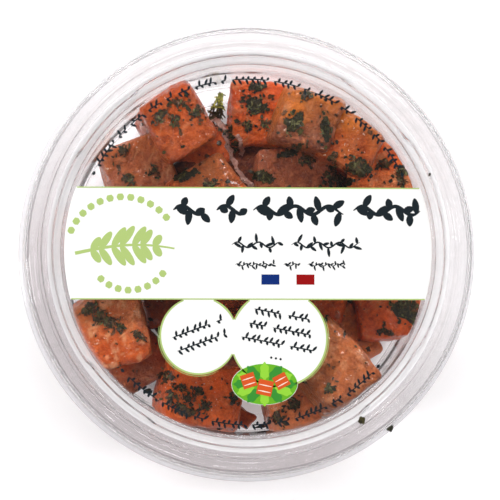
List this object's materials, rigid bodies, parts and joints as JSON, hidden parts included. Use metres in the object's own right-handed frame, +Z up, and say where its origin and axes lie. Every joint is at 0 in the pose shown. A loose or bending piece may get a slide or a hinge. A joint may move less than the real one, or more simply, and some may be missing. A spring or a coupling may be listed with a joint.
{
  "type": "shut tub of diced gravlax",
  "caption": "Shut round clear plastic tub with a close-fitting lid and a printed label, holding a heap of cured salmon dice with chopped dill.",
  "frame": {"origin": "on the surface that the tub stands on, under the centre of its foot ring", "axes": "+Z up through the lid, +X to the right of the label as it is read from above, +Y to the top of the label"},
  "size_m": [0.118, 0.118, 0.04],
  "materials": {
    "clear_tub": "clear, glossy, thin formed sheet",
    "clear_lid": "clear, glossy, thin formed sheet",
    "label_print": "smooth, satin, printed white with light green outlines",
    "salmon_flesh": "moist, softly glossy, translucent, orange to brownish red",
    "dill": "moist leaf, dark to yellowish green"
  },
  "bodies": {
    "root": {"tub": "clear_tub", "lid": "clear_lid", "label": "label_print", "salmon_dice": "salmon_flesh", "dill_sprig": "dill"}
  },
  "joints": []
}
